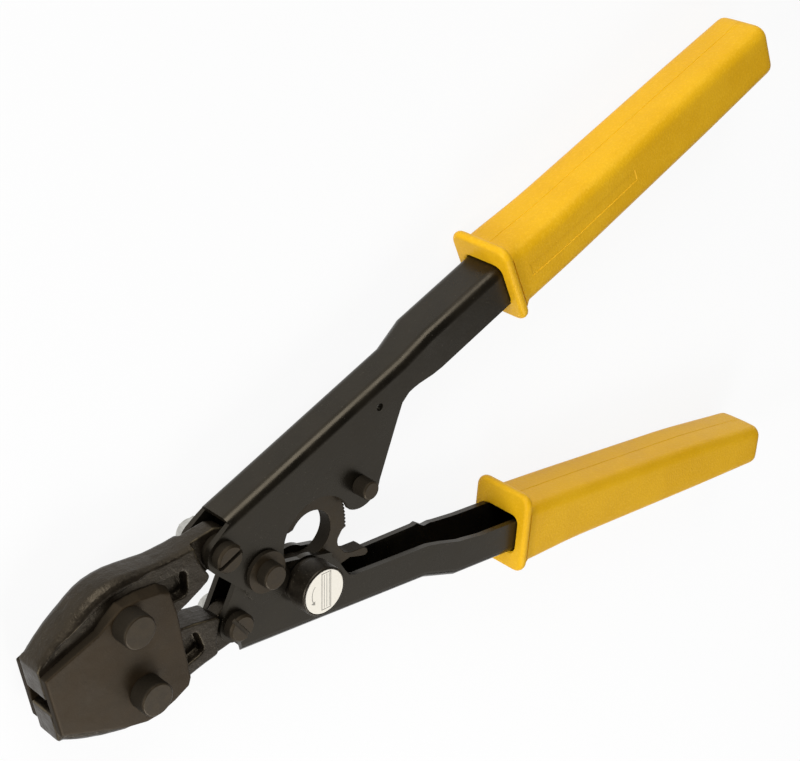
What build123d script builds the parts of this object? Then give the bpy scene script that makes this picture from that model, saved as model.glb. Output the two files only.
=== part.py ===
from build123d import *
import math
import os

# All lengths in mm. X runs from the jaws to the grips, Y towards the upper handle, Z up.
# The tool lies on its far side; the origin is where the main pivot's axis meets that plane.

# overall
mid_z = 13.2
upper_angle = 12.8
lower_angle = -15.2

# jaws and head
jaw_half = 5.25
rim_half = 6.5
arm_half = 2.95
jaw_gap_half = 2.95
nose_x = -83.0
jaw_pin_x = -52.0
jaw_pin_y = 13.8
jaw_pin_r = 4.75
jaw_pin_head_r = 5.9
jaw_pin_face = 14.8
plate_t = 2.85
face_gap = 0.08
running_gap = 0.05

# links between jaws and handles
link_x = -13.3
link_y = 15.0
screw_r = 3.0
screw_head_r = 5.0
screw_head_h = 3.6
slot_w = 1.5
nut_af = 10.0
nut_h = 4.6
open_slot_gap = 0.3

# handles
sheet_t = 2.1
upper_wall_out = 7.4
lower_wall_out = 5.2
upper_web = 27.7
lower_web = 30.2
neck_half = 8.6
bend_r = 3.6
web_front = -3.5
jog_start = 77.0
jog_end = 89.0
tang_end = 205.0
tang_open = 17.6
pivot_r = 4.0
pivot_head_r = 4.5
pivot_face = 13.25
washer_t = 1.5
washer_r = 7.4

# ratchet
tooth_r = 38.7
tooth_depth = 0.75
tooth_pitch = 2.05
tooth_first = -11.3
tooth_count = 10
segment_half = 2.75
pawl_stand = 5.25
pawl_angle = 11.28
pawl_pin_r = 2.5
pawl_eye_r = 3.4
pawl_reach = 6.0
pawl_tip_angle = 159.2
knob_x = 15.9
knob_y = -15.3
knob_r = 8.95
knob_face = 15.4
knob_shaft_r = 3.5

# grips
grip_len = 146.0
upper_grip_start = 124.2
lower_grip_start = 118.6
upper_grip_outer = 33.0
lower_grip_outer = 34.6
grip_flare = 1.6
upper_grip_inner = (10.8, 10.2, 11.8)
lower_grip_inner = (12.2, 12.6, 17.4)
grip_half_front = 12.0
grip_half_end = 11.0
grip_corner = 4.2
guard_t = 3.6
guard_half = 13.2
guard_low = 7.0
guard_high = 38.4

# springs
pawl_wire_r = 0.3
pawl_coil_r = 1.5
handle_coil_r = 6.7
handle_wire_r = 0.6
handle_leg = 21.0


def place(shape, z=0.0):
    return Pos(0, 0, mid_z + z) * shape


def polar(radius, degrees):
    a = math.radians(degrees)
    return (radius * math.cos(a), radius * math.sin(a))


def turned(point, degrees):
    # a point of the head frame, seen in a handle frame that is turned by degrees
    a = math.radians(degrees)
    x, y = point
    return (x * math.cos(a) + y * math.sin(a), y * math.cos(a) - x * math.sin(a))


def disc(point, radius):
    return Pos(point[0], point[1]) * Circle(radius)


def hull(discs):
    edges = []
    for point, radius in discs:
        edges += disc(point, radius).edges()
    return make_hull(edges)


def outline(points):
    # counterclockwise, so that the face looks up
    area = sum(a[0] * b[1] - b[0] * a[1] for a, b in zip(points, points[1:] + points[:1]))
    ordered = points if area > 0 else points[::-1]
    return make_face(Polyline(*ordered, close=True))


def slab(face, z0, z1):
    return extrude(Pos(0, 0, z0) * face, amount=z1 - z0)


def rod(point, radius, z0, z1):
    return Pos(point[0], point[1], (z0 + z1) / 2) * Cylinder(radius, z1 - z0)


def both_sides(face, z0, z1):
    return slab(face, z0, z1) + slab(face, -z1, -z0)


def channel_face(u, low, high, half, radius, web_up):
    # rounded on the web's side, square on the open side
    body = Pos((low + high) / 2, 0) * Rectangle(high - low, 2 * half)
    if radius > 0:
        side = high if web_up else low
        corners = [v for v in body.vertices() if abs(v.X - side) < 1e-6]
        body = fillet(corners, radius)
    plane = Plane(origin=(u, 0, 0), x_dir=(0, 1, 0), z_dir=(1, 0, 0))
    return plane * body


def channel_block(front, low, web, neck_low, neck_web, half, neck, radius, end, web_up):
    a0 = channel_face(front, min(low, web), max(low, web), half, radius, web_up)
    a1 = channel_face(jog_start, min(low, web), max(low, web), half, radius, web_up)
    b0 = channel_face(jog_end, min(neck_low, neck_web), max(neck_low, neck_web), neck, radius, web_up)
    straight = extrude(a0, amount=jog_start - front, dir=(1, 0, 0))
    jog = loft([a1, b0], ruled=True)
    rear = extrude(b0, amount=end - jog_end, dir=(1, 0, 0))
    return straight + jog + rear


screw_up = (link_x, link_y)
screw_low = (link_x, -link_y)
pin_up = (jaw_pin_x, jaw_pin_y)
pin_low = (jaw_pin_x, -jaw_pin_y)
pawl_at = polar(tooth_r + pawl_stand, pawl_angle)
knob_at = (knob_x, knob_y)
anchor_at = (56.2, 32.6)
nodes = {}

# handles
upper_in = upper_wall_out - sheet_t
lower_in = lower_wall_out - sheet_t

su = turned(screw_up, upper_angle)
pu = turned(pawl_at, upper_angle)
ku = turned((22.8, -0.7), upper_angle)
lobe = turned((1.2, -5.5), upper_angle)
plate_up = outline([
    (web_front, 34), (tang_end, 34), (tang_end, tang_open), (upper_grip_start + 24, tang_open),
    (upper_grip_start + 14, 14.5), (85, 14.5), (79.5, 15.1), (74.5, 15.1), (70.6, 13.6), (66.4, 9.4),
    (51.6, -5.9), pu, (0, 0), su, (su[0] - 1.8, su[1] + 6.4), (web_front, su[1] + 8.2),
])
plate_up += disc(pu, 9.0)
plate_up += hull([(su, 6.6), ((0, 0), 8.6)])
plate_up += hull([((0, 0), 8.6), (lobe, 8.2)])
plate_up -= disc(ku, 14.6)
outer = channel_block(-24, -20, upper_web, 14.5, 30.2, upper_wall_out, neck_half, bend_r, tang_end, True)
inner = channel_block(
    -25, -21, upper_web - sheet_t, 13.0, 30.2 - sheet_t, upper_in, neck_half - sheet_t,
    bend_r - sheet_t, tang_end + 1, True,
)
front_cut = Pos(web_front + link_x, upper_web, 0) * Box(-2 * link_x, upper_web + 10, 2 * upper_in)
upper_handle = (outer & slab(plate_up, -10, 10)) - inner - front_cut
upper_handle -= rod(su, screw_r + 0.04, -10, 10)
upper_handle -= rod((0, 0), pivot_r + running_gap, -10, 10)
upper_handle -= rod(pu, pawl_pin_r + 0.01, -10, 10)
upper_handle -= rod(turned(anchor_at, upper_angle), 1.4, -10, 10)
nodes["upper_handle"] = place(Rot(0, 0, upper_angle) * upper_handle)

sl = turned(screw_low, lower_angle)
kl = turned(knob_at, lower_angle)
plate_low = outline([
    (web_front, -36), (tang_end, -36), (tang_end, -tang_open), (lower_grip_start + 24, -tang_open),
    (lower_grip_start + 14, -16.8), (102, -16.7), (91, -16.1), (84.3, -15.2), (79.2, -12.0), (43, -13.4),
    (30.5, -4.2), (18, -2.3), (0, 0), sl,
])
plate_low += disc(kl, 8.8)
plate_low += hull([(sl, 6.5), ((0, 0), 8.0)])
near_low = outline([
    (31, 0), (31, -6), (34.5, -9), (37.5, -13.1), (39.4, -15.4), (42, -16.5), (82, -16.4), (92, -17.1),
    (100, -17.9), (lower_grip_start + 14, -17.9), (lower_grip_start + 14, 0),
])
near_trim = slab(near_low, 0, 10)
outer = channel_block(-20, 12, -lower_web, -13.0, -31.4, lower_wall_out, neck_half, bend_r, tang_end, False)
inner = channel_block(
    -21, 13, -lower_web + sheet_t, -12.0, -31.4 + sheet_t, lower_in, neck_half - sheet_t,
    bend_r - sheet_t, tang_end + 1, False,
)
front_cut = Pos(web_front + link_x, -lower_web, 0) * Box(-2 * link_x, lower_web + 10, 2 * lower_in)
lower_handle = (outer & slab(plate_low, -10, 10)) - inner - front_cut - near_trim
lower_handle -= rod(sl, screw_r + 0.04, -10, 10)
lower_handle -= rod((0, 0), pivot_r + running_gap, -10, 10)
lower_handle -= rod(kl, knob_shaft_r + running_gap, -10, 10)
nodes["lower_handle"] = place(Rot(0, 0, lower_angle) * lower_handle)


# grips
def grip_section(u, low, high, half, radius):
    plane = Plane(origin=(u, 0, 0), x_dir=(0, 1, 0), z_dir=(1, 0, 0))
    return plane * (Pos((low + high) / 2, 0) * RectangleRounded(high - low, 2 * half, radius))


def moulding(stations):
    # flat-sided between stations of (distance, low side, high side, half thickness, corner)
    return loft([grip_section(*station) for station in stations], ruled=True)


def grip(start, inner, outer):
    end = start + grip_len
    bend = start + 0.21 * grip_len
    half_bend = grip_half_front - 0.21 * (grip_half_front - grip_half_end)
    body = moulding([
        (start + 1, inner[0], outer + grip_flare, grip_half_front, grip_corner),
        (bend, inner[1], outer, half_bend, grip_corner),
        (end - 0.28 * grip_len, 0.6 * inner[1] + 0.4 * inner[2], outer, grip_half_end + 0.3, grip_corner),
        (end - 3.2, inner[2], outer - 0.4, grip_half_end, grip_corner),
        (end - 1.0, inner[2] + 0.9, outer - 1.3, grip_half_end - 0.9, grip_corner),
        (end, inner[2] + 2.8, outer - 3.2, grip_half_end - 2.8, grip_corner - 1.2),
    ])
    guard = moulding([
        (start, guard_low + 1.0, guard_high - 1.0, guard_half - 1.0, grip_corner),
        (start + 1.0, guard_low, guard_high, guard_half, grip_corner),
        (start + guard_t - 1.0, guard_low, guard_high, guard_half, grip_corner),
        (start + guard_t, guard_low + 1.0, guard_high - 1.0, guard_half - 1.0, grip_corner),
    ])
    return body + guard


upper_tang = extrude(channel_face(80, 13.0, 30.2, neck_half, bend_r, True), amount=tang_end - 80, dir=(1, 0, 0))
lower_tang = extrude(channel_face(80, -31.4, -12.0, neck_half, bend_r, False), amount=tang_end - 80, dir=(1, 0, 0))
upper_grip = grip(upper_grip_start, upper_grip_inner, upper_grip_outer) - (upper_tang & slab(plate_up, -10, 10))
lower_grip = Rot(180, 0, 0) * grip(lower_grip_start, lower_grip_inner, lower_grip_outer) - (lower_tang & slab(plate_low, -10, 10))
nodes["upper_grip"] = place(Rot(0, 0, upper_angle) * upper_grip)
nodes["lower_grip"] = place(Rot(0, 0, lower_angle) * lower_grip)


# jaws: forgings with a crowned outer side; the upper one has a raised rim beside the head plates
nose_end = (nose_x, 14.0)
jaw_back = [
    (-81.4, 16.2), (-77.2, 19.2), (-73, 21.7), (-68.7, 24.0), (-64.4, 26.0), (-60.6, 27.6), (-56.6, 28.5),
    (-52.6, 28.6), (-48.6, 28.1), (-44.8, 27.2), (-41.0, 26.1), (-34.9, 24.5), (-27, 23.6), (-21, 23.3),
    (-12.4, 23.3), (-8.8, 21.4),
]
rim_inside = [
    (-37, 23.9), (-41, 24.3), (-47.3, 24.5), (-54.8, 24.4), (-58.7, 23.8), (-62.6, 22.6), (-66.6, 21.4),
    (-70.6, 20.2), (-74.8, 18.9), (-79.6, 15.9),
]


def crowned(face, levels):
    # stacked layers, each drawn in further than the last: (height, taper in degrees)
    body = None
    for height, taper in levels:
        layer = extrude(face, amount=height, taper=taper)
        face = layer.faces().sort_by(Axis.Z)[-1]
        body = layer if body is None else body + layer
    return body + mirror(body, about=Plane.XY)


def jaw(open_gap, rim):
    head = outline(
        [(nose_x, jaw_gap_half), nose_end] + jaw_back + [
            screw_up, (-20, 7.6), (-28, 4.6), (-36, 2.4), (-42.5, 0.45), (-57, 0.45), (-62, 1.4), (-68, jaw_gap_half),
        ]
    )
    thick = slab(head + disc(screw_up, 7.1), -jaw_half, jaw_half)
    if rim:
        edge = outline([(-79.6, 16.0)] + jaw_back[1:12] + rim_inside)
        thick += slab(edge & head, -rim_half, rim_half)
    envelope = outline([(-95, -30), (-95, 16.2)] + jaw_back + [(10, 21.4), (10, -30)])
    top = rim_half if rim else jaw_half
    thick = thick & crowned(envelope, [(top - 2.9, 3), (1.8, 27), (1.1, 52)])
    step = outline([(-22.2, 30), (-22.1, 21), (-21.7, 17.5), (-20.7, 13.9), (-19.2, 10.5), (-18.5, 8.6), (-18, 0), (0, 0), (0, 30)])
    thick -= both_sides(step, arm_half, rim_half + 1)
    pocket = Pos(-32.7, 12.9) * Rot(0, 0, -8) * RectangleRounded(11.0, 9.4, 2.0)
    thick -= both_sides(pocket, jaw_half - 2.2, jaw_half + 1)
    thick -= rod(pin_up, jaw_pin_r + running_gap, -9, 9)
    thick -= rod(screw_up, screw_r + max(running_gap, open_gap), -9, 9)
    return thick


nodes["upper_jaw"] = place(jaw(0, True))
nodes["lower_jaw"] = place(mirror(jaw(open_slot_gap, False), about=Plane.XZ))

plate_in = jaw_half + face_gap
plate_out = plate_in + plate_t
side_rest = [
    (-34.6, 5.8), (-35.2, -20.4), (-36.6, -23.0), (-42.8, -25.0), (-49.3, -26.3), (-54, -25.8), (-62, -22.6),
    (-68.2, -18.9), (nose_x + 0.2, -10.2),
]
side_face = [(nose_x + 0.2, 12.2), (-62, 16.3), (-57.5, 18.4), (-52.5, 20.3), (-46, 19.5), (-38.8, 17.4), (-35.4, 14.8)]
side_base = [(nose_x + 0.2, 12.4), (-62, 16.8), (-58.2, 19.5), (-53.6, 22.0), (-46.4, 21.5), (-38.2, 19.4), (-34.8, 16.0)]
near_plate = loft([
    Pos(0, 0, plate_in) * outline(side_base + side_rest),
    Pos(0, 0, plate_out - 0.4) * outline(side_face + side_rest),
], ruled=True)
near_plate += extrude(Pos(0, 0, plate_out - 0.4) * outline(side_face + side_rest), amount=0.4, taper=45)
near_plate -= rod(pin_up, jaw_pin_r + 0.01, 0, 12) + rod(pin_low, jaw_pin_r + 0.01, 0, 12)
nodes["near_head_plate"] = place(near_plate)
nodes["far_head_plate"] = place(mirror(near_plate, about=Plane.XY))


def headed_pin(at, shank, head, z_low, seat_low, seat_high, z_high):
    body = rod(at, shank, z_low + 0.5, z_high - 0.5)
    near = rod(at, head, seat_high, z_high)
    near = chamfer(near.faces().sort_by(Axis.Z)[-1].edges(), 0.5)
    far = rod(at, head, z_low, seat_low)
    far = chamfer(far.faces().sort_by(Axis.Z)[0].edges(), 0.5)
    return body + near + far


nodes["upper_jaw_pin"] = place(headed_pin(pin_up, jaw_pin_r, jaw_pin_head_r, -mid_z, -plate_out, plate_out, jaw_pin_face))
nodes["lower_jaw_pin"] = place(headed_pin(pin_low, jaw_pin_r, jaw_pin_head_r, -mid_z, -plate_out, plate_out, jaw_pin_face))

# main pivot
washer_top = upper_wall_out + washer_t
ring = disc((0, 0), washer_r) - disc((0, 0), pivot_r + running_gap)
nodes["pivot_washers"] = place(both_sides(ring, upper_wall_out, washer_top))
nodes["main_pivot_pin"] = place(
    headed_pin((0, 0), pivot_r, pivot_head_r, -mid_z, -washer_top, washer_top, pivot_face)
)
sleeve = disc((0, 0), pivot_r + 1.6) - disc((0, 0), pivot_r + running_gap)
nodes["pivot_spacer"] = place(slab(sleeve, -lower_in + 0.03, lower_in - 0.03))


# links
def link_screw(at, seat, nut_end, slot_turn):
    head = rod(at, screw_head_r, seat, seat + screw_head_h)
    head = chamfer(head.faces().sort_by(Axis.Z)[-1].edges(), 0.8)
    slot = Pos(at[0], at[1], seat + screw_head_h) * Rot(0, 0, slot_turn) * Box(12, slot_w, 2.8)
    shank = rod(at, screw_r, nut_end, seat)
    return (head - slot) + shank


nodes["upper_link_screw"] = place(link_screw(screw_up, upper_wall_out, -upper_wall_out - nut_h - 0.6, 62))
nodes["lower_link_screw"] = place(link_screw(screw_low, lower_wall_out, -lower_wall_out - nut_h - 0.6, 40))


def link_nut(at, seat):
    hexagon = Pos(at[0], at[1]) * RegularPolygon(nut_af / 2, 6, major_radius=False)
    body = slab(hexagon, -seat - nut_h * 0.8, -seat)
    body += rod(at, nut_af / 2 - 0.4, -seat - nut_h, -seat - nut_h * 0.75)
    return body - rod(at, screw_r, -seat - nut_h - 1, -seat + 1) - rod(at, screw_r + 1.0, -seat - nut_h - 1, -seat - nut_h + 1.3)


def nut_insert(at, seat):
    tube = disc(at, screw_r + 1.0) - disc(at, screw_r)
    return slab(tube, -seat - nut_h + 0.1, -seat - nut_h + 1.3)


nodes["upper_link_nut"] = place(link_nut(screw_up, upper_wall_out))
nodes["lower_link_nut"] = place(link_nut(screw_low, lower_wall_out))
nodes["upper_nut_insert"] = place(nut_insert(screw_up, upper_wall_out))
nodes["lower_nut_insert"] = place(nut_insert(screw_low, lower_wall_out))
spacer_ring = disc(screw_up, 6.0) - disc(screw_up, screw_r + running_gap)
nodes["link_spacers"] = place(both_sides(spacer_ring, arm_half + 0.05, upper_in - 0.03))

# ratchet: an arm with a toothed rim, a window, a front hook and a tail below the last tooth
arm = outline([
    (14.6, 3.6), (10.8, 6.2), (11.5, 12.4), (18, 16.8), (27, 17.4), polar(tooth_r - 2.1, 25.6),
    polar(tooth_r + 1, 20.5), polar(tooth_r + 4, 5), polar(tooth_r + 2, tooth_first - 0.9),
    polar(tooth_r - 0.3, tooth_first - 0.9), polar(tooth_r - 1.6, -13.2), polar(tooth_r - 2.4, -15.2),
    polar(tooth_r - 3.2, -17.6), polar(tooth_r - 3.2, -19.8), polar(tooth_r - 2.7, -21.8), polar(tooth_r - 1.5, -23.8),
    polar(tooth_r, -25.6), (28, -21.5), (12, -12),
])
segment = hull([(knob_at, 7.2), ((24.5, -17.5), 5.0)]) + (arm & disc((0, 0), tooth_r))
segment -= disc((23.2, -2.2), 8.7)
segment -= outline([(14.6, 3.6), (20, 3.6), (20, -9.2), (6, -7), (6, 2.4), (13.6, 2.4)])
segment += outline([
    (29, -15), polar(tooth_r - 1.5, -23.8), polar(tooth_r + 1.2, -26.8), polar(tooth_r + 4.5, -27.0),
    polar(tooth_r + 9.9, -25.5), polar(tooth_r + 11.7, -26.4), polar(tooth_r + 12.4, -28.0), polar(tooth_r + 11.4, -29.1),
    polar(tooth_r + 9.0, -29.4), polar(tooth_r + 4.2, -29.6), (28, -21.5),
])
segment -= disc(polar(tooth_r + 1.6, 15.6), 3.1)
for i in range(tooth_count):
    start = tooth_first + i * tooth_pitch
    cut = outline([
        polar(tooth_r + 0.3, start + 0.35), polar(tooth_r + 0.3, start + tooth_pitch + 0.15),
        polar(tooth_r - tooth_depth, start + 0.55),
    ])
    segment -= cut
ratchet = slab(segment, -segment_half, segment_half) - rod(knob_at, knob_shaft_r + running_gap, -9, 9)
nodes["ratchet_segment"] = place(ratchet)

# the knob: pad, shaft and far shoulder for the clip
knob = rod(knob_at, 8.1, lower_wall_out + 0.1, upper_wall_out + 0.6)
cap = rod(knob_at, knob_r, upper_wall_out + 0.5, knob_face)
knob += chamfer(cap.faces().sort_by(Axis.Z)[-1].edges(), 0.4)
knob += rod(knob_at, knob_shaft_r, -lower_wall_out - 2.4, lower_wall_out + 0.2)
knob -= rod(knob_at, knob_r - 0.9, knob_face - 0.4, knob_face + 1)
knob -= Pos(knob_x, knob_y, -lower_wall_out - 1.1) * (Cylinder(5, 0.9) - Cylinder(knob_shaft_r - 0.6, 0.9))
nodes["release_knob"] = place(knob)
nodes["knob_disc"] = place(rod(knob_at, knob_r - 0.95, knob_face - 0.4, knob_face - 0.05))
clip = disc(knob_at, 5.6) - disc(knob_at, knob_shaft_r - 0.57)
clip -= Pos(knob_x - 4, knob_y) * Rectangle(6, 3.6)
nodes["knob_clip"] = place(slab(clip, -lower_wall_out - 1.5, -lower_wall_out - 0.7))


def beside(point, radius, degrees):
    step = polar(radius, degrees)
    return (point[0] + step[0], point[1] + step[1])


pawl_half = segment_half - 0.05
pawl_tip = beside(pawl_at, pawl_reach - 0.35, pawl_tip_angle)
pawl_tail = beside(pawl_at, 8.2, 44)
pawl_face = hull([(pawl_at, pawl_eye_r), (pawl_tip, 0.35)]) + hull([(pawl_at, pawl_eye_r), (pawl_tail, 1.7)])
pawl_face -= disc(pawl_at, pawl_pin_r + running_gap)
pawl_face -= disc(pawl_tail, 0.8)
pawl = slab(pawl_face, -pawl_half, pawl_half)
pawl -= both_sides(disc(pawl_tail, 3.6) - disc(pawl_at, pawl_eye_r + 0.3), 0.8, pawl_half)
nodes["pawl"] = place(pawl)
nodes["pawl_pin"] = place(headed_pin(pawl_at, pawl_pin_r, 3.45, -mid_z + 2.4, -upper_wall_out, upper_wall_out, pivot_face))
tube = disc(pawl_at, pawl_eye_r) - disc(pawl_at, pawl_pin_r + running_gap)
nodes["pawl_spacers"] = place(both_sides(tube, segment_half + 0.05, upper_in - 0.03))
nodes["spring_anchor"] = place(rod(anchor_at, 1.39, -upper_wall_out + 1.3, upper_wall_out - 1.3))


# springs: six-sided wire, wound in short straight steps
def coil(radius, wire, pitch, height, per_turn):
    steps = round(height / pitch * per_turn)
    points = []
    for i in range(steps + 1):
        x, y = polar(radius, 360 * i / per_turn)
        points.append((x, y, pitch * i / per_turn))
    path = Polyline(*points)
    section = Plane(origin=path @ 0, z_dir=path % 0) * RegularPolygon(wire, 6)
    return sweep(section, path=path, transition=Transition.RIGHT)


def leg(start, degrees, length, wire, z):
    # starts half a wire inside the coil so that the two join
    back = polar(-0.8 * wire, degrees)
    ahead = polar(length, degrees)
    path = Line((start[0] + back[0], start[1] + back[1], z), (start[0] + ahead[0], start[1] + ahead[1], z))
    return sweep(Plane(origin=path @ 0, z_dir=path % 0) * RegularPolygon(wire, 6), path=path)


def hook(radius, wire, sides):
    ring = RegularPolygon(radius + wire * 0.87, sides) - RegularPolygon(radius - wire * 0.87, sides)
    return slab(ring, -wire * 0.87, wire * 0.87)


# tension spring from the pawl's tail to the cross pin, hooked over both
span = math.dist(anchor_at, pawl_tail)
aim = math.degrees(math.atan2(anchor_at[1] - pawl_tail[1], anchor_at[0] - pawl_tail[0]))
hook_r = 1.3
eye_r = 1.75
coil_from = 2 * hook_r + 0.9
coil_to = span - eye_r - 0.9
spring = Pos(coil_from, 0, 0) * Rot(0, 90, 0) * coil(pawl_coil_r, pawl_wire_r, 0.8, coil_to - coil_from, 9)
spring += Pos(hook_r, 0, 0) * Rot(90, 0, 0) * hook(hook_r, pawl_wire_r, 12)
spring += Pos(span, 0, 0) * hook(eye_r, pawl_wire_r, 12)
spring += leg((2 * hook_r, 0), 0, 1.0, pawl_wire_r, 0)
spring += leg((coil_to - 0.1, 0), 0, 1.1, pawl_wire_r, 0)
spring += Pos(coil_from, 0, 0) * Rot(0, 90, 0) * slab(RegularPolygon(pawl_coil_r, 9), -0.25, 0.25)
spring += Pos(coil_to, 0, 0) * Rot(0, 90, 0) * slab(RegularPolygon(pawl_coil_r, 9), -0.25, 0.25)
nodes["pawl_spring"] = place(Pos(pawl_tail[0], pawl_tail[1]) * Rot(0, 0, aim) * spring)

# torsion spring round the pivot's spacer, with one leg towards each handle
per_turn = 28
winds = 3 + 2 / per_turn
lead = 172
width = 4.6
winding = Rot(0, 0, lead) * Pos(0, 0, -width / 2) * coil(handle_coil_r, handle_wire_r, width / winds, width, per_turn)
winding += leg(polar(handle_coil_r, lead), lead - 90, handle_leg, handle_wire_r, -width / 2)
winding += leg(polar(handle_coil_r, lead + 360 * winds), lead + 360 * winds + 90, 0.4 * handle_leg, handle_wire_r, width / 2)
nodes["handle_spring"] = place(winding)

os.makedirs("parts", exist_ok=True)
for name, shape in nodes.items():
    export_step(shape, "parts/" + name + ".step")
    print(name, len(shape.solids()), round(shape.volume, 1))
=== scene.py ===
import bmesh
import bpy
import math
import numpy as np
from mathutils import Euler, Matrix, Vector


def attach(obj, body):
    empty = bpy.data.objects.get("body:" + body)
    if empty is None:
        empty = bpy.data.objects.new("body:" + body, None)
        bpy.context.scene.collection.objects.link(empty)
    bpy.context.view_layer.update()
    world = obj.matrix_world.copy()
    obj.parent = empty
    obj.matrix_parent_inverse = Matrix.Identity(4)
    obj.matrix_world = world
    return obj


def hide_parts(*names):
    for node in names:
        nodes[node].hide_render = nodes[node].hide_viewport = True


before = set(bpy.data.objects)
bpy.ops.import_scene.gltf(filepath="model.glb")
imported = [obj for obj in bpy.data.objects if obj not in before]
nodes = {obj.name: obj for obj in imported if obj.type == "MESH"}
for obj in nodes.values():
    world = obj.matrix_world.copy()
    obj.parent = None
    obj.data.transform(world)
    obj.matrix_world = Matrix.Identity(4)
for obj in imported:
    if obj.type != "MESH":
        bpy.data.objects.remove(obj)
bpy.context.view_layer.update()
scene = bpy.context.scene
scene.view_settings.view_transform = "Standard"
print("frame loaded:", len(nodes), "nodes")


def mm(value):
    return value / 1000


def perMm(size):
    # noise scale for features of that many millimetres, on coordinates in metres
    return 1000 / size


# camera: looks down on the near side, over the jaws, and is rolled as in the photograph
camera = {
    "place": (-0.2501, 0.37525, 0.41674),
    "turnDegrees": (-27.6, -42.774, -9.28),
    "lens": 83.486,
}
cameraData = bpy.data.cameras.new("photoCamera")
cameraData.lens = camera["lens"]
cameraData.sensor_width = 36
cameraData.clip_start = 0.05
cameraObject = bpy.data.objects.new("photoCamera", cameraData)
cameraObject.location = camera["place"]
cameraObject.rotation_euler = Euler([math.radians(a) for a in camera["turnDegrees"]], "XYZ")
scene.collection.objects.link(cameraObject)
scene.camera = cameraObject
print("camera placed")


# ---- materials ----

def linearColour(hexText):
    # sRGB hex to linear, with alpha 1
    parts = [int(hexText[i:i + 2], 16) / 255 for i in (0, 2, 4)]
    return [p / 12.92 if p <= 0.04045 else ((p + 0.055) / 1.055) ** 2.4 for p in parts] + [1.0]


def addNode(tree, kind, links=None, **settings):
    # one node with its settings; links maps an input to a (node, output) pair or a plain value
    node = tree.nodes.new(kind)
    for key, value in settings.items():
        setattr(node, key, value)
    for key, value in (links or {}).items():
        if isinstance(value, tuple) and hasattr(value[0], "outputs"):
            tree.links.new(value[0].outputs[value[1]], node.inputs[key])
        else:
            node.inputs[key].default_value = value
    return node


def newMaterial(name):
    material = bpy.data.materials.new(name)
    material.use_nodes = True
    tree = material.node_tree
    tree.nodes.clear()
    return material, tree


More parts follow.
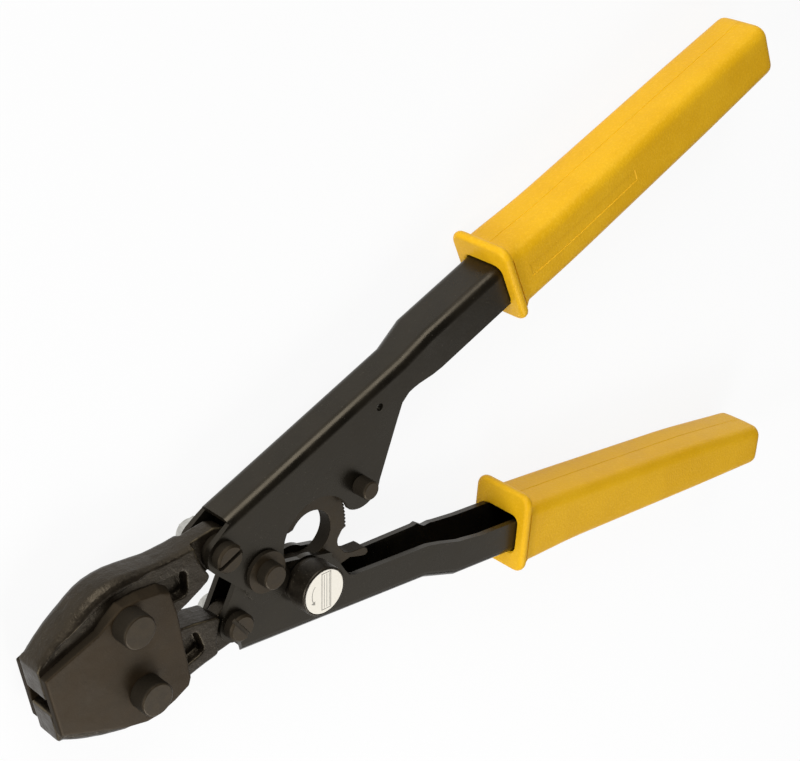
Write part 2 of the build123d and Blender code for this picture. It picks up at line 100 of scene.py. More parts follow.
def surfaceFinish(name, look):
    # two close tones in patches, fine specks, worn high edges, uneven gloss and two sizes of relief
    material, tree = newMaterial(name)
    where = addNode(tree, "ShaderNodeTexCoord")
    patches = addNode(tree, "ShaderNodeTexNoise", {
        "Vector": (where, "Object"), "Scale": perMm(look["patchMm"]), "Detail": 3.0, "Roughness": 0.6})
    patchMask = addNode(tree, "ShaderNodeMapRange", {
        "Value": (patches, "Fac"), "From Min": 0.36, "From Max": 0.64}, interpolation_type="SMOOTHSTEP")
    tone = addNode(tree, "ShaderNodeMix", {
        0: (patchMask, "Result"), 6: linearColour(look["tone"]), 7: linearColour(look["otherTone"])}, data_type="RGBA")
    specks = addNode(tree, "ShaderNodeTexNoise", {
        "Vector": (where, "Object"), "Scale": perMm(look["speckMm"]), "Detail": 1.0, "Roughness": 0.5})
    speckMask = addNode(tree, "ShaderNodeMapRange", {
        "Value": (specks, "Fac"), "From Min": look["speckFrom"], "From Max": look["speckFrom"] + 0.06,
        "To Max": look["speckShare"]})
    colour = addNode(tree, "ShaderNodeMix", {
        0: (speckMask, "Result"), 6: (tone, 2), 7: linearColour(look["speck"])}, data_type="RGBA")
    if "worn" in look:
        edge = addNode(tree, "ShaderNodeAttribute", attribute_name="edgeWear")
        rub = addNode(tree, "ShaderNodeMath", {0: (edge, "Fac"), 1: (patches, "Fac")}, operation="MULTIPLY")
        wornMask = addNode(tree, "ShaderNodeMapRange", {
            "Value": (rub, 0), "From Min": look["wornFrom"], "From Max": look["wornFrom"] + 0.25, "To Max": look["wornShare"]})
        colour = addNode(tree, "ShaderNodeMix", {
            0: (wornMask, "Result"), 6: (colour, 2), 7: linearColour(look["worn"])}, data_type="RGBA")
    gloss = addNode(tree, "ShaderNodeMapRange", {
        "Value": (patches, "Fac"), "From Min": 0.3, "From Max": 0.7,
        "To Min": look["roughness"] - look["roughnessSwing"], "To Max": look["roughness"] + look["roughnessSwing"]})
    if "paintedSideShade" in look:
        # painted shade: sides that don't face along Z, the cut and turned ones, get a near-black colour that stands in
        # for their shade, and a rougher gloss than the flats, which face along Z
        facing = addNode(tree, "ShaderNodeSeparateXYZ", {"Vector": (where, "Normal")})
        flat = addNode(tree, "ShaderNodeMath", {0: (facing, 2)}, operation="ABSOLUTE")
        flatMask = addNode(tree, "ShaderNodeMapRange", {"Value": (flat, 0), "From Min": 0.45, "From Max": 0.85})
        colour = addNode(tree, "ShaderNodeMix", {
            0: (flatMask, "Result"), 6: linearColour(look["paintedSideShade"]), 7: (colour, 2)}, data_type="RGBA")
        gloss = addNode(tree, "ShaderNodeMapRange", {
            "Value": (flatMask, "Result"), "To Min": look["sideRoughness"], "To Max": (gloss, "Result")})
    coarse = addNode(tree, "ShaderNodeTexNoise", {
        "Vector": (where, "Object"), "Scale": perMm(look["coarseMm"]), "Detail": 3.0, "Roughness": 0.55})
    coarseBump = addNode(tree, "ShaderNodeBump", {
        "Height": (coarse, "Fac"), "Distance": mm(look["coarseDepth"]), "Strength": 1.0})
    fine = addNode(tree, "ShaderNodeTexNoise", {
        "Vector": (where, "Object"), "Scale": perMm(look["fineMm"]), "Detail": 2.0, "Roughness": 0.6})
    fineBump = addNode(tree, "ShaderNodeBump", {
        "Height": (fine, "Fac"), "Distance": mm(look["fineDepth"]), "Strength": 1.0, "Normal": (coarseBump, "Normal")})
    shader = addNode(tree, "ShaderNodeBsdfPrincipled", {
        "Base Color": (colour, 2), "Roughness": (gloss, "Result"), "Normal": (fineBump, "Normal"),
        "Metallic": look.get("metallic", 0.0), "Specular IOR Level": look.get("shine", 0.5),
        "Specular Tint": linearColour(look.get("shineTint", "FFFFFF"))})
    addNode(tree, "ShaderNodeOutputMaterial", {"Surface": (shader, "BSDF")})
    return material


# stoved black enamel on pressed steel: deep black, soft long highlights, slight orange peel, dust specks
enamelledSteel = surfaceFinish("stovedEnamelOnSteel", {
    "tone": "0D0B08", "otherTone": "14110C", "patchMm": 14, "speck": "4C483F", "speckMm": 0.55, "speckFrom": 0.72,
    "speckShare": 0.5, "roughness": 0.3, "roughnessSwing": 0.06, "coarseMm": 2.4, "coarseDepth": 0.035,
    "fineMm": 0.7, "fineDepth": 0.012, "shine": 0.4, "shineTint": "FFEFD2"})
# drop-forged steel, blackened: a skin of scale with shallow pits, browner where it is rubbed
forgedSteel = surfaceFinish("blackenedForgedSteel", {
    "shine": 0.42, "shineTint": "FFEBCB", "tone": "120E0A", "otherTone": "1B1610", "patchMm": 6, "speck": "3E382D", "speckMm": 0.6, "speckFrom": 0.66,
    "speckShare": 0.4, "roughness": 0.4, "roughnessSwing": 0.09, "coarseMm": 1.9, "coarseDepth": 0.2,
    "fineMm": 0.7, "fineDepth": 0.1, "worn": "6B6049", "wornFrom": 0.28, "wornShare": 0.38})
# blanked plate with a matte black oxide: even grain, brown where handled, and near-black painted shade on its sides
oxidePlate = surfaceFinish("blackOxidePlate", {
    "shine": 0.42, "shineTint": "FFE4BE", "tone": "1F180F", "otherTone": "281F14", "patchMm": 9, "speck": "3E3528", "speckMm": 0.5, "speckFrom": 0.66,
    "speckShare": 0.35, "roughness": 0.52, "roughnessSwing": 0.07, "coarseMm": 3.0, "coarseDepth": 0.06, "paintedSideShade": "080604", "sideRoughness": 0.8,
    "fineMm": 0.5, "fineDepth": 0.035, "worn": "4E4433", "wornFrom": 0.35, "wornShare": 0.35})
# turned and blackened pins and screws: oilier and darker than the plates, with near-black painted shade on their sides
oxideTurned = surfaceFinish("blackOxideTurnedSteel", {
    "shine": 0.42, "shineTint": "FFE9C8", "tone": "211B13", "otherTone": "2B2318", "patchMm": 4,
    "paintedSideShade": "080604", "sideRoughness": 0.75, "speck": "3F372B", "speckMm": 0.45, "speckFrom": 0.67,
    "speckShare": 0.35, "roughness": 0.4, "roughnessSwing": 0.08, "coarseMm": 1.6, "coarseDepth": 0.03,
    "fineMm": 0.4, "fineDepth": 0.015})
# zinc-plated steel nuts: bright, slightly clouded
zincSteel = surfaceFinish("zincPlatedSteel", {
    "tone": "C9C8C2", "otherTone": "B4B3AD", "patchMm": 2.5, "speck": "8D8A80", "speckMm": 0.5, "speckFrom": 0.68,
    "speckShare": 0.4, "roughness": 0.3, "roughnessSwing": 0.08, "coarseMm": 1.2, "coarseDepth": 0.01,
    "fineMm": 0.4, "fineDepth": 0.006, "metallic": 1.0})
# nylon locking ring: waxy off-white
nylonRing = surfaceFinish("mouldedNylon", {
    "tone": "E6DFC8", "otherTone": "DDD3B6", "patchMm": 3, "speck": "C9BC97", "speckMm": 0.6, "speckFrom": 0.66,
    "speckShare": 0.4, "roughness": 0.42, "roughnessSwing": 0.05, "coarseMm": 1.0, "coarseDepth": 0.01,
    "fineMm": 0.4, "fineDepth": 0.005})
# oil-tempered spring wire: grey sheen along the wire
springWire = surfaceFinish("oilTemperedSpringWire", {
    "tone": "6F6B63", "otherTone": "57534C", "patchMm": 2, "speck": "9C978B", "speckMm": 0.4, "speckFrom": 0.66,
    "speckShare": 0.5, "roughness": 0.34, "roughnessSwing": 0.06, "coarseMm": 1.0, "coarseDepth": 0.006,
    "fineMm": 0.3, "fineDepth": 0.004, "metallic": 1.0})
# die-cast knob in satin black paint
paintedCasting = surfaceFinish("satinPaintedCasting", {
    "shine": 0.45, "shineTint": "FFEFD6", "tone": "100D09", "otherTone": "17130D", "patchMm": 5, "speck": "5E574A", "speckMm": 0.5, "speckFrom": 0.69,
    "speckShare": 0.5, "roughness": 0.42, "roughnessSwing": 0.06, "coarseMm": 1.8, "coarseDepth": 0.03,
    "fineMm": 0.5, "fineDepth": 0.015})
# polypropylene moulded against a spark-eroded mould: even fine pitting that softens the highlights
yellowMoulding = surfaceFinish("sparkErodedPolypropylene", {
    "tone": "DEA810", "otherTone": "E3AE16", "patchMm": 22, "speck": "F0C234", "speckMm": 0.9, "speckFrom": 0.56,
    "speckShare": 0.22, "roughness": 0.44, "roughnessSwing": 0.04, "coarseMm": 5.0, "coarseDepth": 0.03,
    "fineMm": 0.85, "fineDepth": 0.16, "shine": 0.4, "shineTint": "FFE09A"})

# the white disc: coated paper with a plain turning arrow and a box of plain lines, as drawn for this part
discPrint = {
    "paper": "FBF6EA", "ink": "4A463F", "centre": (15.9, -15.3), "turnDegrees": -79.2,
    "boxHalf": (6.9, 1.9), "boxShift": (0.2, -0.8), "lineStep": 1.1, "arrowRadius": 5.3, "arrowFrom": 0.85,
    "arrowTo": 2.05, "lineWidth": 0.3,
}


def printedDisc(look):
    material, tree = newMaterial("printedPaperDisc")
    where = addNode(tree, "ShaderNodeTexCoord")
    centred = addNode(tree, "ShaderNodeMapping", {
        "Vector": (where, "Object"), "Location": (-mm(look["centre"][0]), -mm(look["centre"][1]), 0)})
    turned = addNode(tree, "ShaderNodeMapping", {
        "Vector": (centred, 0), "Rotation": (0, 0, math.radians(look["turnDegrees"])), "Scale": (1000, 1000, 1000)})
    axes = addNode(tree, "ShaderNodeSeparateXYZ", {"Vector": (turned, 0)})

    def maths(operation, a, b=0.0, c=0.0):
        return addNode(tree, "ShaderNodeMath", {0: a, 1: b, 2: c}, operation=operation), 0

    x = maths("SUBTRACT", (axes, 0), look["boxShift"][0])
    y = maths("SUBTRACT", (axes, 1), look["boxShift"][1])
    farX = maths("SUBTRACT", maths("ABSOLUTE", x), look["boxHalf"][0])
    farY = maths("SUBTRACT", maths("ABSOLUTE", y), look["boxHalf"][1])
    outside = maths("MAXIMUM", farX, farY)
    frameLine = maths("LESS_THAN", maths("ABSOLUTE", outside), 0.16)
    inside = maths("LESS_THAN", outside, -0.5)
    rows = maths("PINGPONG", maths("ADD", y, 20.0), look["lineStep"] / 2)
    ruled = maths("MULTIPLY", maths("LESS_THAN", rows, 0.12), inside)
    radius = maths("SQRT", maths("ADD", maths("POWER", (axes, 0), 2.0), maths("POWER", (axes, 1), 2.0)))
    angle = maths("ARCTAN2", (axes, 1), (axes, 0))
    ring = maths("LESS_THAN", maths("ABSOLUTE", maths("SUBTRACT", radius, look["arrowRadius"])), look["lineWidth"] / 2)
    sweepFrom = maths("GREATER_THAN", angle, look["arrowFrom"])
    sweepTo = maths("LESS_THAN", angle, look["arrowTo"])
    arc = maths("MULTIPLY", ring, maths("MULTIPLY", sweepFrom, sweepTo))
    # arrow head: a wedge that narrows along the arc
    along = maths("SUBTRACT", angle, look["arrowTo"] - 0.03)
    halfWidth = maths("MULTIPLY", maths("SUBTRACT", 0.28, along), 3.4)
    offLine = maths("ABSOLUTE", maths("SUBTRACT", radius, look["arrowRadius"]))
    head = maths("MULTIPLY", maths("LESS_THAN", offLine, halfWidth), maths("MULTIPLY", maths("GREATER_THAN", along, 0.0), maths("LESS_THAN", along, 0.28)))
    ink = maths("MAXIMUM", maths("MAXIMUM", frameLine, ruled), maths("MAXIMUM", arc, head))
    fibres = addNode(tree, "ShaderNodeTexNoise", {"Vector": (where, "Object"), "Scale": perMm(0.8), "Detail": 3.0})
    inkMask = maths("MULTIPLY", ink, maths("MULTIPLY_ADD", (fibres, "Fac"), 0.5, 0.5))
    paper = addNode(tree, "ShaderNodeMix", {
        0: (fibres, "Fac"), 6: linearColour(look["paper"]), 7: linearColour("F3ECDD")}, data_type="RGBA")
    colour = addNode(tree, "ShaderNodeMix", {0: inkMask, 6: (paper, 2), 7: linearColour(look["ink"])}, data_type="RGBA")
    bump = addNode(tree, "ShaderNodeBump", {"Height": (fibres, "Fac"), "Distance": mm(0.01), "Strength": 1.0})
    shader = addNode(tree, "ShaderNodeBsdfPrincipled", {"Base Color": (colour, 2), "Roughness": 0.5, "Normal": (bump, "Normal")})
    addNode(tree, "ShaderNodeOutputMaterial", {"Surface": (shader, "BSDF")})
    return material


paperDisc = printedDisc(discPrint)
print("materials made:", len(bpy.data.materials))


# ---- helpers for pieces ----

def addPiece(name, mesh, body, slotName, material, *replaced):
    piece = bpy.data.objects.new(name, mesh)
    scene.collection.objects.link(piece)
    mesh.materials.clear()
    mesh.materials.append(material)
    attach(piece, body)
    if replaced:
        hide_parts(*replaced)
    return piece


def joinedCopy(nodeName):
    # the solid's loose triangles joined, and its flat faces made whole again
    shape = bmesh.new()
    shape.from_mesh(nodes[nodeName].data)
    bmesh.ops.remove_doubles(shape, verts=shape.verts, dist=mm(0.003))
    bmesh.ops.dissolve_limit(shape, angle_limit=math.radians(0.6), verts=shape.verts, edges=shape.edges)
    mesh = bpy.data.meshes.new(nodeName + "Joined")
    shape.to_mesh(mesh)
    shape.free()
    return mesh


def easedCopy(name, nodeName, body, slotName, material, edge):
    # the solid with its sharp edges broken by a narrow bevel
    mesh = joinedCopy(nodeName)
    mesh.shade_smooth()
    mesh.set_sharp_from_angle(angle=math.radians(32))
    piece = addPiece(name, mesh, body, slotName, material, nodeName)
    bevel = piece.modifiers.new("brokenEdges", "BEVEL")
    bevel.width = mm(edge)
    bevel.segments = 2
    bevel.limit_method = "ANGLE"
    bevel.angle_limit = math.radians(38)
    even = piece.modifiers.new("flatFacesStayFlat", "WEIGHTED_NORMAL")
    even.weight = 90
    even.keep_sharp = True
    return piece


def settled(piece):
    # the mesh with its modifiers worked in
    graph = bpy.context.evaluated_depsgraph_get()
    mesh = bpy.data.meshes.new_from_object(piece.evaluated_get(graph))
    return mesh


def vertexArray(mesh, what):
    values = np.zeros(len(mesh.vertices) * 3, np.float32)
    mesh.vertices.foreach_get(what, values)
    return values.reshape(-1, 3).astype(float)


def forgedCopy(name, nodeName, body, slotName, material, look):
    # the solid remeshed and relaxed, so that every edge is as round as a forging's, with a rippled skin
    trial = bpy.data.objects.new(name + "Trial", joinedCopy(nodeName))
    scene.collection.objects.link(trial)
    remesh = trial.modifiers.new("grain", "REMESH")
    remesh.mode = "VOXEL"
    remesh.voxel_size = mm(look["voxel"])
    relax = trial.modifiers.new("relax", "SMOOTH")
    relax.factor = 0.5
    relax.iterations = look["passes"]
    mesh = settled(trial)
    bpy.data.objects.remove(trial)
    points = vertexArray(mesh, "co")
    normals = vertexArray(mesh, "normal")
    # skin relief in words: a sum of sine waves in seeded directions, pushed along the normals
    dice = np.random.default_rng(7)
    relief = np.zeros(len(points))
    for length in look["waves"]:
        for turn in range(3):
            aim = dice.normal(size=3)
            aim /= np.linalg.norm(aim)
            relief += length * np.sin(points @ aim * (2 * np.pi / mm(length)) + dice.uniform(0, 6.28))
    relief *= look["relief"] / max(np.abs(relief).max(), 1e-9)
    moved = points + normals * mm(1) * relief[:, None]
    if "pocket" in look:
        # pocket floors in words: points below the face and inside the pocket's outline sink further towards mid-plane
        a = math.radians(look["pocketTurn"])
        dx = moved[:, 0] * 1000 - look["pocket"][0]
        dy = np.abs(moved[:, 1]) * 1000 - look["pocket"][1]
        acrossX = np.abs(dx * math.cos(a) - dy * math.sin(a)) - look["pocketHalf"][0]
        acrossY = np.abs(dx * math.sin(a) + dy * math.cos(a)) - look["pocketHalf"][1]
        depth = moved[:, 2] * 1000 - look["midPlane"]
        inside = (np.maximum(acrossX, acrossY) < 0) & (np.abs(depth) < look["pocketFloor"])
        moved[:, 2] -= inside * np.sign(depth) * mm(look["deeper"])
    mesh.vertices.foreach_set("co", moved.astype(np.float32).ravel())
    # wear in words: how far a point stands above the mean of its neighbours, along its normal
    ends = np.zeros(len(mesh.edges) * 2, np.int32)
    mesh.edges.foreach_get("vertices", ends)
    ends = ends.reshape(-1, 2)
    total = np.zeros_like(points)
    count = np.zeros(len(points))
    np.add.at(total, ends[:, 0], points[ends[:, 1]])
    np.add.at(total, ends[:, 1], points[ends[:, 0]])
    np.add.at(count, ends.ravel(), 1)
    height = ((points - total / np.maximum(count, 1)[:, None]) * normals).sum(1)
    wear = np.clip(height / mm(look["voxel"] * 0.12), 0, 1)
    layer = mesh.attributes.new("edgeWear", "FLOAT", "POINT")
    layer.data.foreach_set("value", wear.astype(np.float32))
    mesh.shade_smooth()
    mesh.update()
    return addPiece(name, mesh, body, slotName, material, nodeName)


def closedSkin(name, rings):
    # rings is (count, points, 3): neighbouring rings are joined by quads and the end rings are filled
    count, around, _ = rings.shape
    first = np.arange(count - 1)[:, None] * around
    step = np.arange(around)[None, :]
    ahead = (step + 1) % around
    quads = np.stack([first + step, first + ahead, first + around + ahead, first + around + step], -1).reshape(-1, 4)
    faces = quads.tolist() + [list(range(around))[::-1], list(range((count - 1) * around, count * around))]
    mesh = bpy.data.meshes.new(name)
    mesh.from_pydata(mm(rings.reshape(-1, 3)).tolist(), [], faces)
    shape = bmesh.new()
    shape.from_mesh(mesh)
    bmesh.ops.recalc_face_normals(shape, faces=shape.faces)
    shape.to_mesh(mesh)
    shape.free()
    mesh.shade_smooth()
    mesh.set_sharp_from_angle(angle=math.radians(31))
    return mesh


# ---- grips ----

gripLook = {
    "length": 146.0, "corner": 4.2, "halfFront": 12.0, "halfEnd": 11.0, "flare": 1.6, "midPlane": 13.2,
    "guardThick": 3.6, "guardHalf": 13.2, "guardLow": 7.0, "guardHigh": 38.4, "rim": 1.6,
    "crown": 0.25, "seamDepth": 0.22, "seamHalf": 0.2, "nubHeight": 0.5, "endRound": 3.1,
}
upperGripLook = dict(gripLook, start=124.2, outer=33.0, inner=(10.8, 10.2, 11.8), angle=12.8, side=1,
                     pocket=(14.3, 30.4), panel=(134.4, 190.6), panelShare=(-0.25, 0.36))
lowerGripLook = dict(gripLook, start=118.6, outer=34.6, inner=(12.2, 12.6, 17.4), angle=-15.2, side=-1,
                     pocket=(16.6, 31.6), panel=None, panelShare=(-0.25, 0.36))


def gripTemplate(look):
    # one ring in words: corner arcs of 7 points, and along each side points at shares of the flat;
    # columns: share across (y), share through (z), arc y, arc z, absolute z, seam height, panel flag
    rows = []

    def arc(cornerY, cornerZ, fromDegrees):
        for a in np.radians(np.linspace(fromDegrees, fromDegrees + 90, 7)):
            rows.append((cornerY, cornerZ, np.cos(a), np.sin(a), 0, 0, 0))

    def seamSide(side, direction):
        rows.append((side, -0.55 * direction, side, 0, 0, 0, 0))
        for z, rise in ((-9, 0), (-5, 0), (-2.4, 1), (-1.0, 1), (0, 2), (1.0, 1), (2.4, 1), (5, 0), (9, 0)):
            rows.append((side, 0, side, 0, z * direction, rise, 0))
        rows.append((side, 0.55 * direction, side, 0, 0, 0, 0))

    arc(1, 1, 0)
    low, high = look["panelShare"]
    for share, flag in ((0.7, 0), (high + 0.02, 0), (high, 1), ((low + high) / 2, 1), (low, 1), (low - 0.02, 0), (-0.65, 0)):
        rows.append((share, 1, 0, 1, 0, 0, flag))
    arc(-1, 1, 90)
    seamSide(-1, -1)
    arc(-1, -1, 180)
    for share in (-0.5, 0, 0.5):
        rows.append((share, -1, 0, -1, 0, 0, 0))
    arc(1, -1, 270)
    seamSide(1, 1)
    return np.array(rows, float)


def gripStations(look):
    # stations in words: pocket round the neck, bulbous guard rim, fillet, tapering body, rounded end;
    # columns: distance, low side, high side, half thickness, corner radius, seam on or off
    start, end = look["start"], look["start"] + look["length"]
    pocketLow, pocketHigh = look["pocket"]
    quarter = np.linspace(0, np.pi / 2, 6)
    table = [(start + 30, pocketLow, pocketHigh, 8.7, 3.0, 0), (start + 0.5, pocketLow, pocketHigh, 8.7, 3.0, 0),
             (start, pocketLow - 0.5, pocketHigh + 0.5, 9.2, 3.2, 0)]
    rim = look["rim"]
    low, high, half = look["guardLow"], look["guardHigh"], look["guardHalf"]
    for a in quarter:
        inset = rim * (1 - np.sin(a))
        table.append((start + rim * (1 - np.cos(a)), low + inset, high - inset, half - inset, look["corner"] - inset * 0.5, 0))
    for a in quarter[::-1]:
        inset = rim * (1 - np.sin(a))
        table.append((start + look["guardThick"] - rim * (1 - np.cos(a)), low + inset, high - inset, half - inset, look["corner"] - inset * 0.5, 0))
    bend = start + 0.21 * look["length"]
    bendHalf = look["halfFront"] - 0.21 * (look["halfFront"] - look["halfEnd"])
    inner = look["inner"]
    knots = np.array([
        (start + look["guardThick"], inner[0], look["outer"] + look["flare"], look["halfFront"]),
        (bend, inner[1], look["outer"], bendHalf),
        (end - 0.28 * look["length"], 0.6 * inner[1] + 0.4 * inner[2], look["outer"], look["halfEnd"] + 0.3),
        (end, inner[2], look["outer"] - 0.4, look["halfEnd"])])
    along = np.linspace(start + look["guardThick"], end - look["endRound"] - 0.2, 61)
    if look["panel"]:
        a, b = look["panel"]
        along = np.sort(np.concatenate([along, [a - 0.15, a + 0.15, b - 0.15, b + 0.15]]))
    # the sides bend softly: straight runs averaged over 16 mm
    spread = np.linspace(-8, 8, 9)[:, None]
    near = np.clip(along[None, :] + spread, knots[0, 0], knots[-1, 0])
    lowSide, highSide, halves = [np.interp(near, knots[:, 0], knots[:, i]).mean(0) for i in (1, 2, 3)]
    swell = 1.4 * np.exp(-((along - along[0]) / 1.1) ** 2)
    for row in zip(along, lowSide - swell, highSide + swell * 0.6, np.minimum(halves + swell * 0.5, half - 0.4)):
        table.append((*row, look["corner"], 1))
    lastLow, lastHigh, lastHalf = lowSide[-1], highSide[-1], halves[-1]
    r = look["endRound"]
    for a in quarter[1:]:
        inset = r * (1 - np.cos(a))
        table.append((end - r + r * np.sin(a), lastLow + inset, lastHigh - inset, lastHalf - inset, look["corner"] - inset * 0.45, 1 - np.sin(a)))
    return np.array(table, float)


def gripPiece(name, look, body, nodeName):
    ring = gripTemplate(look)
    run = gripStations(look)
    u, low, high, half, radius, seam = [run[:, i:i + 1] for i in range(6)]
    flatY, flatZ = (high - low) / 2 - radius, half - radius
    end = look["start"] + look["length"]
    nub = np.exp(-((u - (end - 5.0)) / 0.9) ** 2)
    z = ring[:, 1] * flatZ + radius * ring[:, 3] + ring[:, 4] * look["seamHalf"]
    groove = -look["seamDepth"] * seam * (ring[:, 5] == 2) * (1 - np.clip(nub * 2, 0, 1))
    rise = groove + look["nubHeight"] * nub * (ring[:, 5] > 0)
    crown = look["crown"] * seam * np.clip(1 - (z / half) ** 2, 0, 1) * (np.abs(ring[:, 0]) == 1) * (ring[:, 3] == 0)
    y = (low + high) / 2 + ring[:, 0] * flatY + radius * ring[:, 2] + np.sign(ring[:, 2]) * (rise + crown)
    if look["panel"]:
        inPanel = (u > look["panel"][0]) & (u < look["panel"][1])
        z = z - 0.22 * inPanel * ring[:, 6]
    side = look["side"]
    y, z = y * side, z * 1.0
    a = math.radians(look["angle"])
    x = u + 0 * y
    rings = np.stack([x * math.cos(a) - y * math.sin(a), x * math.sin(a) + y * math.cos(a), z + look["midPlane"]], -1)
    mesh = closedSkin(name, rings)
    return addPiece(name, mesh, body, "yellow_plastic", yellowMoulding, nodeName)


gripPiece("upperGripMoulding", upperGripLook, "upper_lever", "upper_grip")
gripPiece("lowerGripMoulding", lowerGripLook, "lower_lever", "lower_grip")
print("grips made")


# ---- steel parts with worked edges ----

jawLook = {"voxel": 0.36, "passes": 9, "waves": (9.0, 4.0, 2.2), "relief": 0.1, "midPlane": 13.2,
           "pocket": (-32.7, 12.9), "pocketTurn": 8.0, "pocketHalf": (5.3, 4.5), "pocketFloor": 3.6, "deeper": 1.4}
plateLook = {"voxel": 0.3, "passes": 4, "waves": (12.0, 5.0), "relief": 0.03}
forgedCopy("upperJawForging", "upper_jaw", "upper_jaw", "black_oxide", forgedSteel, jawLook)
forgedCopy("lowerJawForging", "lower_jaw", "lower_jaw", "black_oxide", forgedSteel, jawLook)
forgedCopy("nearHeadPlate", "near_head_plate", "head", "black_oxide", oxidePlate, plateLook)
forgedCopy("farHeadPlate", "far_head_plate", "head", "black_oxide", oxidePlate, plateLook)
easedCopy("upperHandlePressing", "upper_handle", "upper_lever", "gloss_black_paint", enamelledSteel, 0.3)
easedCopy("lowerHandlePressing", "lower_handle", "lower_lever", "gloss_black_paint", enamelledSteel, 0.3)
easedCopy("ratchetSegment", "ratchet_segment", "segment", "black_oxide", oxideTurned, 0.15)
for pieceName, nodeName, body, edge in (
        ("upperJawPin", "upper_jaw_pin", "head", 0.25), ("lowerJawPin", "lower_jaw_pin", "head", 0.25),
        ("mainPivotPin", "main_pivot_pin", "upper_lever", 0.2), ("pawlPin", "pawl_pin", "upper_lever", 0.2),
        ("upperLinkScrew", "upper_link_screw", "upper_lever", 0.2), ("lowerLinkScrew", "lower_link_screw", "lower_lever", 0.2)):
    easedCopy(pieceName, nodeName, body, "black_oxide", oxideTurned, edge)
# the screws stand in the photograph with their slots at other angles: each is turned about its own axis
for pieceName, axis, turn in (("upperLinkScrew", (-13.3, 15.0), -48.0), ("lowerLinkScrew", (-13.3, -15.0), 76.0)):
    mesh = bpy.data.objects[pieceName].data
    points = vertexArray(mesh, "co")
    centre = mm(np.array(axis))
    spin = np.array([[math.cos(math.radians(turn)), math.sin(math.radians(turn))],
                     [-math.sin(math.radians(turn)), math.cos(math.radians(turn))]])
    points[:, :2] = (points[:, :2] - centre) @ spin + centre
    mesh.vertices.foreach_set("co", points.astype(np.float32).ravel())
easedCopy("releaseKnob", "release_knob", "knob", "black_plastic", paintedCasting, 0.2)
print("steel parts eased")


# ---- springs ----

def wirePiece(name, parts, wire, body, nodeName):
    # each part is a path of points in mm, carried out as a round wire with closed ends
    curve = bpy.data.curves.new(name + "Path", "CURVE")
    curve.dimensions = "3D"
    curve.bevel_depth = mm(wire)
    curve.bevel_resolution = 3
    curve.use_fill_caps = True
    for path in parts:
        spline = curve.splines.new("POLY")
        spline.points.add(len(path) - 1)
        spline.points.foreach_set("co", np.column_stack([mm(path), np.ones(len(path))]).astype(np.float32).ravel())
    trial = bpy.data.objects.new(name + "Trial", curve)
    scene.collection.objects.link(trial)
    mesh = settled(trial)
    bpy.data.objects.remove(trial)
    mesh.shade_smooth()
    return addPiece(name, mesh, body, "spring_steel", springWire, nodeName)


def helix(radius, turns, length, startDegrees):
    # points at an even angle step on a circle that moves along z
    t = np.linspace(0, 1, int(turns * 40) + 1)
    a = math.radians(startDegrees) + 2 * np.pi * turns * t
    return np.column_stack([radius * np.cos(a), radius * np.sin(a), length * t])


torsionLook = {"coilRadius": 6.7, "wire": 0.6, "turns": 3.0714, "lead": 172.0, "width": 4.6, "legs": (21.0, 8.4), "midPlane": 13.2}


def torsionSpring(look):
    coil = helix(look["coilRadius"], look["turns"], look["width"], look["lead"])
    coil[:, 2] += look["midPlane"] - look["width"] / 2
    startAim = math.radians(look["lead"] - 90)
    endAim = math.radians(look["lead"] + 360 * look["turns"] + 90)
    out = np.linspace(0, 1, 12)[:, None]
    firstLeg = coil[0] + out[::-1] * look["legs"][0] * np.array([math.cos(startAim), math.sin(startAim), 0])
    lastLeg = coil[-1] + out * look["legs"][1] * np.array([math.cos(endAim), math.sin(endAim), 0])
    path = np.concatenate([firstLeg[:-1], coil, lastLeg[1:]])
    piece = wirePiece("handleSpring", [path], look["wire"], "upper_lever", "handle_spring")
    return piece


torsionSpring(torsionLook)

pullLook = {"tail": (48.998, 14.299), "anchor": (56.2, 32.6), "midPlane": 13.2, "coilRadius": 1.5, "wire": 0.3, "hook": 1.3, "eye": 1.75}


def pullSpring(look):
    # along its own line in words: a hook circle through the tail, a close coil, and an eye round the pin
    tail, anchor = np.array(look["tail"]), np.array(look["anchor"])
    span = float(np.linalg.norm(anchor - tail))
    aim = math.atan2(*(anchor - tail)[::-1])
    coilFrom, coilTo = 2 * look["hook"] + 0.9, span - look["eye"] - 0.9
    coil = helix(look["coilRadius"], round((coilTo - coilFrom) / 0.8), coilTo - coilFrom, 0)
    coil = np.column_stack([coil[:, 2] + coilFrom, coil[:, 0], coil[:, 1]])
    a = np.linspace(0, 2 * np.pi, 41)
    hookRing = np.column_stack([look["hook"] * (1 - np.cos(a[::-1])) + 0 * a, 0 * a, look["hook"] * np.sin(a)])
    hookRing[:, 0] = look["hook"] + look["hook"] * np.cos(a)
    eyeRing = np.column_stack([span - look["eye"] * np.cos(a), look["eye"] * np.sin(a), 0 * a])
    ease = np.linspace(0, 1, 8)[:, None]
    toCoil = hookRing[0] + ease * (coil[0] - hookRing[0])
    toEye = coil[-1] + ease * (eyeRing[0] - coil[-1])
    path = np.concatenate([hookRing[::-1][:-1], toCoil[:-1], coil[:-1], toEye[:-1], eyeRing])
    turn = np.array([[math.cos(aim), math.sin(aim), 0], [-math.sin(aim), math.cos(aim), 0], [0, 0, 1]])
    path = path @ turn + np.array([tail[0], tail[1], look["midPlane"]])
    return wirePiece("pawlSpring", [path], look["wire"], "upper_lever", "pawl_spring")


pullSpring(pullLook)
print("springs wound")

# ---- finishes on the solids that stay ----

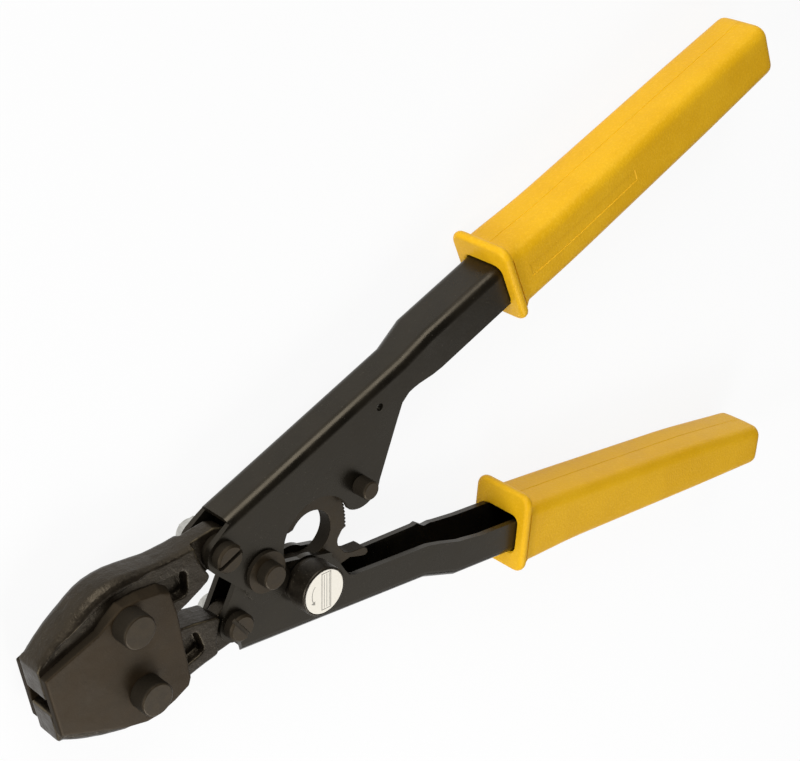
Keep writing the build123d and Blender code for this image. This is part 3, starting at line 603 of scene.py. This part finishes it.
kept = {
    "lower_link_nut": zincSteel, "upper_link_nut": zincSteel, "upper_nut_insert": nylonRing, "lower_nut_insert": nylonRing,
    "knob_disc": paperDisc, "knob_clip": springWire, "pawl": oxideTurned, "pawl_spacers": oxideTurned,
    "spring_anchor": zincSteel, "link_spacers": oxideTurned, "pivot_spacer": oxideTurned, "pivot_washers": oxideTurned,
}
for nodeName, material in kept.items():
    for slot in nodes[nodeName].material_slots:
        slot.material = material
print("finishes set on", len(kept), "solids")

# ---- stage and lamps ----

floorMesh = bpy.data.meshes.new("floor")
floorMesh.from_pydata([(-4, -4, -0.0002), (4, -4, -0.0002), (4, 4, -0.0002), (-4, 4, -0.0002)], [], [(0, 1, 2, 3)])
floor = bpy.data.objects.new("floor", floorMesh)
scene.collection.objects.link(floor)
floorMaterial, tree = newMaterial("paleFloor")
diffuse = addNode(tree, "ShaderNodeBsdfPrincipled", {"Base Color": linearColour("F4F4F4"), "Roughness": 0.9})
glow = addNode(tree, "ShaderNodeEmission", {"Color": (1, 1, 1, 1), "Strength": 1.0})
path = addNode(tree, "ShaderNodeLightPath")
seen = addNode(tree, "ShaderNodeMath", {0: (path, "Is Camera Ray"), 1: (path, "Is Glossy Ray")}, operation="MAXIMUM")
seen = addNode(tree, "ShaderNodeMath", {0: (seen, 0), 1: (path, "Is Transmission Ray")}, operation="MAXIMUM")
share = addNode(tree, "ShaderNodeMath", {0: (seen, 0), 1: 0.9}, operation="MULTIPLY")  # the rest keeps the tool's shadow
mix = addNode(tree, "ShaderNodeMixShader", {0: (share, 0), 1: (diffuse, "BSDF"), 2: (glow, "Emission")})
addNode(tree, "ShaderNodeOutputMaterial", {"Surface": (mix, "Shader")})
floorMesh.materials.append(floorMaterial)

studio = {"skyStrength": 0.2, "mirroredSky": 0.08, "keyWatts": 14, "sideWatts": 7, "panelWatts": 1.35, "fillWatts": 2.0}
world = bpy.data.worlds.new("studio")
scene.world = world
world.use_nodes = True
skyTree = world.node_tree
skyTree.nodes.clear()
skyPath = addNode(skyTree, "ShaderNodeLightPath")
mirrored = addNode(skyTree, "ShaderNodeMath", {
    0: (skyPath, "Is Glossy Ray"), 1: studio["mirroredSky"] - studio["skyStrength"], 2: studio["skyStrength"]},
    operation="MULTIPLY_ADD")
seenSky = addNode(skyTree, "ShaderNodeMath", {0: (mirrored, 0), 1: (skyPath, "Is Camera Ray")}, operation="MAXIMUM")
sky = addNode(skyTree, "ShaderNodeBackground", {"Color": (1, 1, 1, 1), "Strength": (seenSky, 0)})
addNode(skyTree, "ShaderNodeOutputWorld", {"Surface": (sky, "Background")})


def softLamp(name, place, aim, size, watts):
    data = bpy.data.lights.new(name, "AREA")
    data.shape = "DISK"
    data.size = size
    data.energy = watts
    lamp = bpy.data.objects.new(name, data)
    lamp.location = place
    lamp.rotation_euler = (Vector(aim) - Vector(place)).to_track_quat("-Z", "Y").to_euler()
    scene.collection.objects.link(lamp)


softLamp("keyLamp", (0.02, 1.35, 0.46), (0.08, 0, 0), 1.0, studio["keyWatts"])
softLamp("sideLamp", (-0.9, 0.15, 0.3), (-0.07, 0, 0), 0.5, studio["sideWatts"])
softLamp("panelLamp", (0.3, -0.62, 0.55), (0.03, 0, 0), 0.8, studio["panelWatts"])  # seen in the flat near faces
softLamp("fillLamp", (-0.1, -0.5, 0.45), (0.1, -0.06, 0), 0.35, studio["fillWatts"])
print("stage and lamps set")
